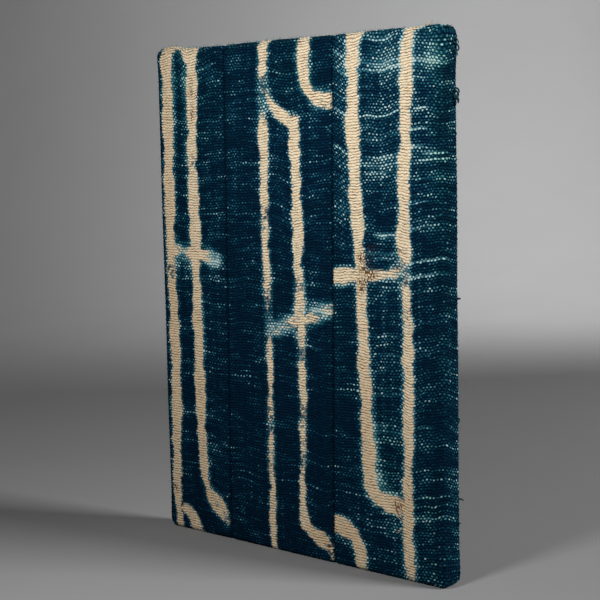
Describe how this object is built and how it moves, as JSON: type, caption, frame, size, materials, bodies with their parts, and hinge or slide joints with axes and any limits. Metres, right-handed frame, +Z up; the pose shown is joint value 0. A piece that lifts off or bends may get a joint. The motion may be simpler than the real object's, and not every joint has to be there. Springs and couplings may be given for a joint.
{
  "type": "stretched ndop cloth and mounting board",
  "caption": "Indigo resist-dyed cloth of narrow handwoven strips, stretched over a thin board and turned in on its back; stands on its base edge.",
  "frame": {"origin": "middle of the base edge that the panel stands on", "axes": "+X to the right across the face, +Y from the face to the back, +Z up"},
  "size_m": [0.1291, 0.0097, 0.1795],
  "materials": {
    "bare_board": "plain unfinished wood board, seen only on the back",
    "indigo_cotton_left": "handspun plain-weave cotton, indigo dyed, cream resist lines",
    "indigo_cotton_middle": "handspun plain-weave cotton, darkest indigo, cream resist lines",
    "indigo_cotton_right": "handspun plain-weave cotton, indigo dyed, cream resist lines and crossbar"
  },
  "bodies": {
    "root": {"mounting_board": "bare_board", "cloth_strip_left": "indigo_cotton_left", "cloth_strip_middle": "indigo_cotton_middle", "cloth_strip_right": "indigo_cotton_right"}
  },
  "joints": []
}
